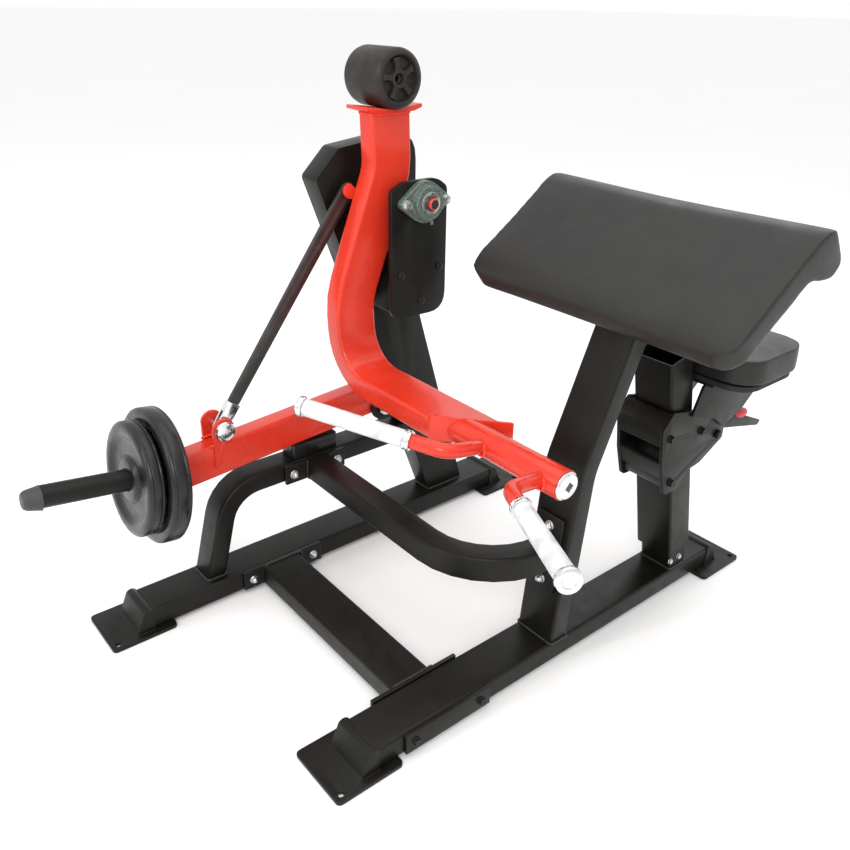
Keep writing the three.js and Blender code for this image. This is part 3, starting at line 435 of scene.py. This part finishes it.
def inflate(piece, pressure, cap):
    """Lets the cover swell under pressure, each point by no more than the cap, with no loose wrinkles."""
    start = np.empty(len(piece.data.vertices) * 3)
    piece.data.vertices.foreach_get("co", start)
    cloth = piece.modifiers.new("cloth", "CLOTH")
    cloth.settings.quality = 5
    cloth.settings.mass = 0.35
    cloth.settings.tension_stiffness = 22
    cloth.settings.compression_stiffness = 22
    cloth.settings.bending_stiffness = 2.5
    cloth.settings.use_pressure = True
    cloth.settings.uniform_pressure_force = pressure
    cloth.settings.effector_weights.gravity = 0
    cloth.settings.vertex_group_mass = "held"
    last_step = 20
    cloth.point_cache.frame_end = last_step
    for step in range(1, last_step + 1):
        bpy.context.scene.frame_set(step)
    evaluated_copy(piece)
    bpy.context.scene.frame_set(1)
    end = np.empty_like(start)
    piece.data.vertices.foreach_get("co", end)
    move = (end - start).reshape(-1, 3)
    length = np.linalg.norm(move, axis=1, keepdims=True)
    move *= np.minimum(1, cap / np.maximum(length, 1e-9))
    move = evened(move, piece.data)
    piece.data.vertices.foreach_set("co", start + move.ravel())


def cushion(name, node, held, pressure, cap, inset, rounding=14):
    """A padded piece in the space of a CAD solid: remeshed, drawn in, swollen as cloth and smoothed."""
    piece = bpy.data.objects.new(name, NODES[node].data.copy())
    bpy.context.scene.collection.objects.link(piece)
    remesh = piece.modifiers.new("remesh", "REMESH")
    remesh.mode = "VOXEL"
    remesh.voxel_size = 0.006
    draw_in = piece.modifiers.new("draw_in", "DISPLACE")
    draw_in.strength = -inset
    draw_in.mid_level = 0
    relax = piece.modifiers.new("relax", "SMOOTH")
    relax.factor = 0.5
    relax.iterations = rounding
    evaluated_copy(piece)
    group = piece.vertex_groups.new(name="held")
    for vertex in piece.data.vertices:
        if held(vertex.co):
            group.add([vertex.index], 1.0, "REPLACE")
    inflate(piece, pressure, cap)
    finish = piece.modifiers.new("finish", "SUBSURF")
    finish.levels = finish.render_levels = 1
    evaluated_copy(piece)
    piece.vertex_groups.clear()
    for polygon in piece.data.polygons:
        polygon.use_smooth = True
    piece.data.materials.clear()
    piece.data.materials.append(MATERIALS["vinyl"])
    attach(piece, BODY_OF[node])
    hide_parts(node)
    return piece


def pads():
    under = Vector((0, math.sin(PAD_TILT), -math.cos(PAD_TILT)))
    board = centre_of("arm_pad_board")
    top_of_board = board.dot(under) - 0.007
    cushion("elbow_cushion", "arm_pad", lambda p: p.dot(under) > top_of_board - 0.004 and p.y < board.y + 0.1,
            2.0, 0.006, 0.005)
    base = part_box("seat_pad")[0].z
    cushion("seat_cushion", "seat_pad", lambda p: p.z < base + 0.008, 2.0, 0.006, 0.005)


# ---------- turned pieces that replace faceted CAD solids ----------
HORN = Vector(JOINTS["large_plate_slide"]["axis"])


def along_axis(node, origin, axis):
    """How far the node reaches each way along an axis from a point, and its radius about that axis."""
    offsets = [v.co - origin for v in NODES[node].data.vertices]
    shares = [offset.dot(axis) for offset in offsets]
    return min(shares), max(shares), max((o - axis * a).length for o, a in zip(offsets, shares))


def weight_plate(name, node, bore=25.5 * MM):
    """A rubber plate: raised hub and rim, a dished web between them, and two fine rings round its edge."""
    low, high, radius = along_axis(node, centre_of(node), HORN)
    half = (high - low) / 2
    web = half - 9 * MM
    side = [(half, bore), (half, 44 * MM), (half - 2 * MM, 48 * MM), (web, 54 * MM),
            (web - 1 * MM, radius * 0.6), (web, radius - 38 * MM), (half - 2.5 * MM, radius - 29 * MM),
            (half - 0.5 * MM, radius - 25 * MM),
            (half, radius - 20 * MM), (half, radius - 13 * MM), (half - 2 * MM, radius - 5 * MM),
            (half - 6 * MM, radius - 0.8 * MM), (half - 9 * MM, radius), (half - 11 * MM, radius - 1.2 * MM),
            (half - 13 * MM, radius)]
    rows = [(-along, r) for along, r in side] + list(reversed(side))
    piece = turned(name, rows, centre_of(node), HORN, BODY_OF[node], "rubber", 96, closed=True)
    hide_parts(node)


def counterweight():
    """A rubber-covered drum: rounded shoulders and a spoked face at each end."""
    low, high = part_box("counterweight")
    middle, radius, half = (low + high) / 2, (high.z - low.z) / 2, (high.x - low.x) / 2
    shoulder = [(half - 11 * MM * (1 - math.sin(a)), radius - 11 * MM * (1 - math.cos(a)))
                for a in np.radians([0, 30, 60, 90])]
    side = [(half - 14 * MM, 6 * MM), (half - 12 * MM, 9 * MM), (half - 4 * MM, 11 * MM),
            (half - 3 * MM, 18 * MM), (half - 13 * MM, 21 * MM), (half - 13 * MM, radius - 18 * MM),
            (half - 1 * MM, radius - 14 * MM)]
    side += list(reversed(shoulder))
    rows = [(-along, r) for along, r in side] + list(reversed(side))
    drum = turned("counterweight_drum", rows, middle, X, "arm", "rubber", 72, True, DRUM_RUBBER)
    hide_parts("counterweight")
    for way in (-1, 1):
        for k in range(5):
            angle = 2 * math.pi * k / 5 + 0.5
            spoke_arm(f"drum_spoke_{'near' if way > 0 else 'far'}_{k}", middle, way, half, angle, radius)


def spoke_arm(name, middle, way, half, angle, radius):
    """One raised spoke between the drum's hub and its rim."""
    out = Vector((0, math.cos(angle), math.sin(angle)))
    across = X.cross(out)
    bm = bmesh.new()
    rings = []
    for share, width in ((0, 9 * MM), (0.5, 6.5 * MM), (1, 10 * MM)):
        reach = 16 * MM + share * (radius - 34 * MM)
        base = middle + out * reach
        corners = [(-width, half - 14 * MM), (-width * 0.7, half - 4 * MM), (width * 0.7, half - 4 * MM),
                   (width, half - 14 * MM)]
        rings.append([bm.verts.new(base + across * u + X * way * v) for u, v in corners])
    for low, high in zip(rings, rings[1:]):
        for k in range(4):
            bm.faces.new([low[k], low[(k + 1) % 4], high[(k + 1) % 4], high[k]])
    bm.faces.new(rings[0])
    bm.faces.new(rings[-1])
    bmesh.ops.recalc_face_normals(bm, faces=bm.faces)
    link_piece(name, mesh_from(bm, name), "arm", DRUM_RUBBER)


def grips():
    """The spinning sleeves with their collars, end discs and small set screws."""
    for side in ("left", "right"):
        joint = JOINTS[side + "_grip_spin"]
        root, along = Vector(joint["pos_m"]), Vector(joint["axis"])
        sleeve_low, sleeve_high, _ = along_axis("grip_sleeve_" + side, root, along)
        tip = along_axis("grip_end_disc_" + side, root, along)[1]
        bore = 11.3 * MM
        rows = [(sleeve_low, bore), (sleeve_low, 16.3 * MM), (sleeve_low + 1.2 * MM, 17.5 * MM),
                (sleeve_high - 1.2 * MM, 17.5 * MM), (sleeve_high, 16.3 * MM), (sleeve_high, bore)]
        sleeve = turned(side + "_sleeve", rows, root, along, side + "_grip", "grip_sleeve", 64, True)
        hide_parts("grip_sleeve_" + side)
        rows = [(0.3 * MM, bore), (0.3 * MM, 18.8 * MM), (1.5 * MM, 20 * MM), (6 * MM, 20 * MM),
                (7 * MM, 19.2 * MM), (8.2 * MM, 19.2 * MM), (9.2 * MM, 20 * MM), (13.8 * MM, 20 * MM),
                (15 * MM, 18.8 * MM), (15 * MM, bore)]
        collar = turned(side + "_collar", rows, root, along, "arm", "chrome", 64, True)
        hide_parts("grip_collar_" + side)
        up = (Z - Z.dot(along) * along).normalized()
        seat = root + along * 7.6 * MM + up * 18.6 * MM
        button_screw(side + "_collar_screw", seat, up, "arm", 1.6 * MM, "zinc")
        rows = [(sleeve_high + 0.4 * MM, bore), (sleeve_high + 0.4 * MM, 19 * MM), (tip - 12 * MM, 20 * MM),
                (tip - 9.5 * MM, 21.2 * MM), (tip - 8 * MM, 21.6 * MM), (tip - 3.5 * MM, 21.6 * MM),
                (tip - 1.2 * MM, 20.4 * MM), (tip - 0.4 * MM, 18 * MM), (tip - 0.4 * MM, 12 * MM),
                (tip - 1.5 * MM, 10.5 * MM), (tip - 1.5 * MM, 0)]
        disc = turned(side + "_end_disc", rows, root, along, "arm", "chrome", 60)
        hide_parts("grip_end_disc_" + side)


def cross_tube_cap():
    """The bright domed cap with a dark square drive in its middle."""
    low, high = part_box("cross_tube_end_cap")
    at = Vector((low.x, (low.y + high.y) / 2, (low.z + high.z) / 2))
    depth = high.x - low.x
    rows = [(0, 0), (0, 27.5 * MM), (1 * MM, 28 * MM), (3 * MM, 28 * MM), (4 * MM, 26.5 * MM),
            (depth - 3 * MM, 24 * MM), (depth - 1 * MM, 17 * MM), (depth - 0.5 * MM, 11 * MM),
            (depth - 0.5 * MM, 8 * MM, 4), (depth - 3.5 * MM, 7.6 * MM, 4), (depth - 3.5 * MM, 0)]
    cap = turned("cross_tube_cap", rows, at, X, "arm", "chrome", 64)
    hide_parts("cross_tube_end_cap")
    rows = [(0, 0), (0, 7.5 * MM, 4), (0.6 * MM, 7.3 * MM, 4), (0.6 * MM, 0)]
    turned("cross_tube_cap_drive", rows, at + X * (depth - 3.5 * MM), X, "arm", "grey_plastic", 64)


def pivot_caps():
    """Dished chrome discs on the lever's pivot pin and clevis pin, and the red end of the arm's shaft."""
    pins = (("lever_pivot_pin", "lever_pivot", 21 * MM), ("lever_clevis_pin", "clevis", 23 * MM))
    for node, name, radius in pins:
        fine(node, 0.6 * MM)
        low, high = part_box(node)
        face = Vector((high.x, (low.y + high.y) / 2, (low.z + high.z) / 2))
        rim = [(-11 * MM, 0), (-11 * MM, radius), (-4 * MM, radius), (-1.5 * MM, radius - 2 * MM),
               (-0.5 * MM, radius - 5 * MM)]
        dish = [(-0.5 * MM, 11 * MM), (-3 * MM, 8.5 * MM), (-3 * MM, 0)]
        turned(name + "_cap", rim + dish, face, X, BODY_OF[node], "chrome")
        button_screw(name + "_cap_screw", face - X * 3.2 * MM, X, BODY_OF[node], 3.6 * MM, "zinc")
    low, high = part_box("pivot_shaft")
    end = Vector((high.x - 0.4 * MM, (low.y + high.y) / 2, (low.z + high.z) / 2))
    rows = [(-6.5 * MM, 0), (-6.5 * MM, 12.6 * MM), (-2 * MM, 12.4 * MM), (-0.4 * MM, 10.5 * MM),
            (-0.4 * MM, 3.4 * MM), (-2.4 * MM, 2.6 * MM), (-2.4 * MM, 0)]
    turned("pivot_shaft_cap", rows, end, X, "arm", "red", 40)


def horn_plug():
    """The horn's end plug: a tapered cone with moulded ridges."""
    middle = centre_of("horn_end_plug")
    low, high, radius = along_axis("horn_end_plug", middle, HORN)
    length = high - low
    shoulder = length - 8 * MM
    rows = [(0, 0), (0, radius), (1.6 * MM, radius)]
    ridges = 9
    for k in range(ridges):
        share = k / ridges
        at = 2.6 * MM + share * (shoulder - 2.6 * MM)
        across = radius - 0.6 * MM - share * 4.5 * MM
        rows += [(at, across), (at + 0.6 * MM, across - 0.5 * MM), (at + 2.0 * MM, across - 0.3 * MM)]
    rows += [(shoulder, radius - 5.4 * MM), (length - 2.5 * MM, radius - 8.5 * MM),
             (length - 0.6 * MM, radius - 11.5 * MM), (length - 0.6 * MM, 0)]
    plug = turned("horn_plug", rows, middle + HORN * low, HORN, "lever", "grey_plastic", 56)
    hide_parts("horn_end_plug")


# ---------- welds ----------
def foot_weld(name, node, body="frame", slot="black", spread=1.0 * MM):
    """A bead round the foot of an upright tube, where it meets what it stands on."""
    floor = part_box(node)[0].z
    low, high = near(node, lambda p: p.z < floor + 1 * MM)
    middle = (low + high) / 2
    half_x, half_y = (high.x - low.x) / 2 + spread, (high.y - low.y) / 2 + spread
    weld(name, rectangle(middle, X, Y, half_x, half_y), body, slot)


def welds():
    for node in ("bearing_pillar", "lever_rest_rail", "pad_post", "seat_post_socket"):
        foot_weld(node + "_foot_weld", node)
    low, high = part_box("lower_cross_beam")
    middle = (low + high) / 2
    flange = 8.5 * MM
    for name, x in (("weight", low.x + flange), ("user", high.x - flange)):
        at = Vector((x, middle.y, middle.z))
        weld("cross_beam_weld_" + name, rectangle(at, Y, Z, 51 * MM, 25.5 * MM), "frame")
    low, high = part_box("upper_cross_tube")
    rail_low, rail_high = near("upper_cross_tube", lambda p: p.x < low.x + 2 * MM)
    y = (rail_low.y + rail_high.y) / 2 + 6 * MM
    z = (rail_low.z + rail_high.z) / 2 - 1 * MM
    path = rectangle(Vector((low.x + flange, y, z)), Y, Z, 30 * MM, 26 * MM)
    weld("upper_tube_weld", path, "frame", radius=2.4 * MM)
    low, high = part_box("counterweight_saddle")
    middle = (low + high) / 2
    path = rectangle(Vector((middle.x, middle.y, low.z)), X, Y, 26 * MM, 49 * MM)
    weld("saddle_weld", path, "arm", "red")
    cap_low, cap_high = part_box("cross_tube_end_cap")
    y, z = (cap_low.y + cap_high.y) / 2, (cap_low.z + cap_high.z) / 2
    for side in ("left", "right"):
        handle_weld(side, y, z)
    clevis = centre_of("lever_clevis_pin")
    for side, x in (("near", clevis.x + 25 * MM), ("far", clevis.x - 25 * MM)):
        along = Vector((0, math.cos(LEVER_DROOP), math.sin(LEVER_DROOP)))
        start = Vector((x, clevis.y, clevis.z)) - Z * 30 * MM
        ends = [start - along * 33 * MM, start + along * 33 * MM]
        weld("clevis_weld_" + side, ends, "lever", "red", closed=False)


def handle_weld(side, y, z):
    """The bead where a handle's bent bar meets the cross tube."""
    bar_low, bar_high = near("handle_bar_" + side, lambda p: p.y > y - 36 * MM)
    x = (bar_low.x + bar_high.x) / 2
    tube, ring, count = 30.6 * MM, 16 * MM, 28
    points = []
    for k in range(count):
        angle = 2 * math.pi * k / count
        dx, dz = ring * math.cos(angle), ring * math.sin(angle)
        points.append(Vector((x + dx, y - math.sqrt(tube ** 2 - dz ** 2), z + dz)))
    weld(f"handle_weld_{side}", points, "arm", "red", 2.6 * MM)


# ---------- fasteners in their places ----------
def base_fasteners():
    low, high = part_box("lower_cross_beam")
    clamp_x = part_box("user_beam_clamp_plate")[1].x
    z = (low.z + high.z) / 2
    flange, inset = 8 * MM, 24 * MM
    for place, y in (("front", low.y + inset), ("rear", high.y - inset)):
        dome_nut(f"weight_flange_nut_{place}", Vector((low.x + flange, y, z)), X, "frame", 5 * MM)
        dome_nut(f"user_flange_nut_{place}", Vector((high.x - flange, y, z)), -X, "frame", 5 * MM, "black")
        hex_bolt(f"clamp_bolt_{place}", Vector((clamp_x, y, z - 2 * MM)), X, "frame", 4.6 * MM, "black")


def upper_tube_fasteners():
    low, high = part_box("upper_cross_tube")
    flange_low, flange_high = near("upper_cross_tube", lambda p: p.x < low.x + 2 * MM)
    for place, y in (("front", flange_low.y + 22 * MM), ("rear", flange_high.y - 22 * MM)):
        at = Vector((low.x + 8 * MM, y, (flange_low.z + flange_high.z) / 2))
        dome_nut(f"rail_flange_nut_{place}", at, X, "frame", 5.5 * MM)
    post_low, post_high = near("upper_cross_tube", lambda p: p.y > high.y - 30 * MM)
    face = Vector((0, -math.cos(POST_LEAN), math.sin(POST_LEAN)))
    up = Vector((0, math.sin(POST_LEAN), math.cos(POST_LEAN)))
    hub = (post_low + post_high) / 2
    spread, half_flange = 64 * MM, 4.2 * MM
    for place, way in (("low", -1), ("high", 1)):
        at = hub + up * way * spread + face * half_flange
        dome_nut(f"post_flange_nut_{place}", at, face, "frame", 5.5 * MM)


def cheek_fasteners():
    low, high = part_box("bearing_cheek_plate")
    spots = ((0.17, 0.335), (0.88, 0.345), (0.54, 0.11))
    for k, (along, up) in enumerate(spots):
        at = Vector((high.x, low.y + along * (high.y - low.y), low.z + up * (high.z - low.z)))
        button_screw(f"cheek_plug_{k}", at, X, "frame", 4.6 * MM, "black", socket=False)
    far_low, far_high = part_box("far_bearing_housing")
    middle = (far_low + far_high) / 2
    for place, way in (("front", -1), ("rear", 1)):
        at = Vector((far_high.x - 15.3 * MM, middle.y + way * 53 * MM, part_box("pivot_shaft")[0].z + 15 * MM))
        hex_bolt(f"far_bearing_bolt_{place}", at, -X, "frame", 5.4 * MM)


def carriage_fasteners():
    near_low, near_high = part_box("seat_carriage")
    for place in ("upper_front", "lower_front", "rear"):
        middle = centre_of("guide_roller_" + place)
        for side, x, way in (("near", near_high.x, X), ("far", near_low.x, -X)):
            at = Vector((x, middle.y, middle.z))
            hex_bolt(f"roller_bolt_{place}_{side}", at, way, "seat_unit", 5 * MM, "black")
    socket_low, socket_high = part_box("seat_post_socket")
    for place, y, z in (("front", socket_low.y + 30 * MM, socket_low.z + 26 * MM),
                        ("rear", socket_high.y - 34 * MM, socket_low.z + 26 * MM)):
        hex_bolt(f"socket_bolt_{place}", Vector((socket_high.x, y, z)), X, "frame", 3.6 * MM, "zinc")


def pad_fasteners():
    """Four coach screws through the mounting plate into the elbow pad's board."""
    down = Vector((0, math.sin(PAD_TILT), -math.cos(PAD_TILT)))
    slope = Vector((0, math.cos(PAD_TILT), math.sin(PAD_TILT)))
    plate_low, plate_high = near("pad_post", lambda p: abs(p.x - centre_of("pad_post").x) > 0.1)
    middle = (plate_low + plate_high) / 2
    across, along, half_plate = 88 * MM, 38 * MM, 4.3 * MM
    for k, (u, v) in enumerate(((-1, -1), (-1, 1), (1, -1), (1, 1))):
        at = middle + X * u * across + slope * v * along + down * half_plate
        hex_bolt(f"pad_plate_bolt_{k}", at, down, "frame", 4 * MM, "zinc")


# ---------- everything in its place ----------
def build():
    rebuilt = {"arm_pad", "seat_pad", "large_weight_plate", "small_weight_plate", "counterweight",
               "horn_end_plug", "cross_tube_end_cap", "lever_pivot_pin", "lever_clevis_pin"}
    grip_parts = ("sleeve", "collar", "end_disc")
    rebuilt |= {f"grip_{part}_{side}" for part in grip_parts for side in ("left", "right")}
    for node in NODES:
        if node not in rebuilt:
            fine(node)
    pads()
    weight_plate("large_plate", "large_weight_plate")
    weight_plate("small_plate", "small_weight_plate")
    counterweight()
    grips()
    cross_tube_cap()
    pivot_caps()
    horn_plug()
    welds()
    base_fasteners()
    upper_tube_fasteners()
    cheek_fasteners()
    carriage_fasteners()
    pad_fasteners()


# ---------- floor, light and camera ----------
def floor():
    bm = bmesh.new()
    bmesh.ops.create_grid(bm, x_segments=8, y_segments=8, size=80)
    mesh = bpy.data.meshes.new("studio_floor")
    bm.to_mesh(mesh)
    bm.free()
    piece = bpy.data.objects.new("studio_floor", mesh)
    bpy.context.scene.collection.objects.link(piece)
    graph = Graph("pale_floor", Roughness=0.9, IOR=1.2)
    graph.drive("Base Color", graph.mix(graph.noise(0.8, 2), (0.93, 0.93, 0.925), (0.96, 0.96, 0.955)))
    mesh.materials.append(graph.material)
    piece.location.z = -0.5 * MM


def area_light(name, at, aim, size, power, colour=(1, 1, 1)):
    data = bpy.data.lights.new(name, "AREA")
    data.shape = "RECTANGLE"
    data.size, data.size_y = size
    data.energy = power
    data.color = colour
    lamp = bpy.data.objects.new(name, data)
    bpy.context.scene.collection.objects.link(lamp)
    lamp.location = at
    lamp.rotation_euler = (Vector(aim) - Vector(at)).to_track_quat("-Z", "Y").to_euler()


def studio():
    scene = bpy.context.scene
    scene.view_settings.view_transform = "Standard"
    world = bpy.data.worlds.new("studio")
    scene.world = world
    world.use_nodes = True
    background = world.node_tree.nodes["Background"]
    background.inputs["Color"].default_value = (1.0, 1.0, 1.0, 1)
    background.inputs["Strength"].default_value = 1.0
    middle = (0, 0, 0.6)
    area_light("overhead", (0.2, -0.2, 4.2), middle, (4.0, 4.0), 60)
    area_light("key", (2.6, -2.6, 2.9), middle, (1.4, 1.4), 60, (1.0, 0.985, 0.96))
    area_light("streak", (-0.6, -3.6, 2.2), middle, (0.25, 2.2), 26)
    area_light("back", (-1.0, 3.4, 3.0), middle, (3.0, 1.6), 25)


def camera():
    """At chest height in front of the user's side, turned and tipped to look down on the machine."""
    azimuth, elevation, roll = math.radians(50.55), math.radians(27.0), math.radians(0.86)
    data = bpy.data.cameras.new("camera")
    data.lens = 35.68
    data.sensor_width = 36
    view = bpy.data.objects.new("camera", data)
    bpy.context.scene.collection.objects.link(view)
    look = Matrix.Rotation(azimuth, 4, "Z") @ Matrix.Rotation(math.pi / 2 - elevation, 4, "X")
    view.matrix_world = Matrix.Translation((1.1690, -1.0451, 1.300)) @ look @ Matrix.Rotation(roll, 4, "Z")
    bpy.context.scene.camera = view


camera()
build()
floor()
studio()
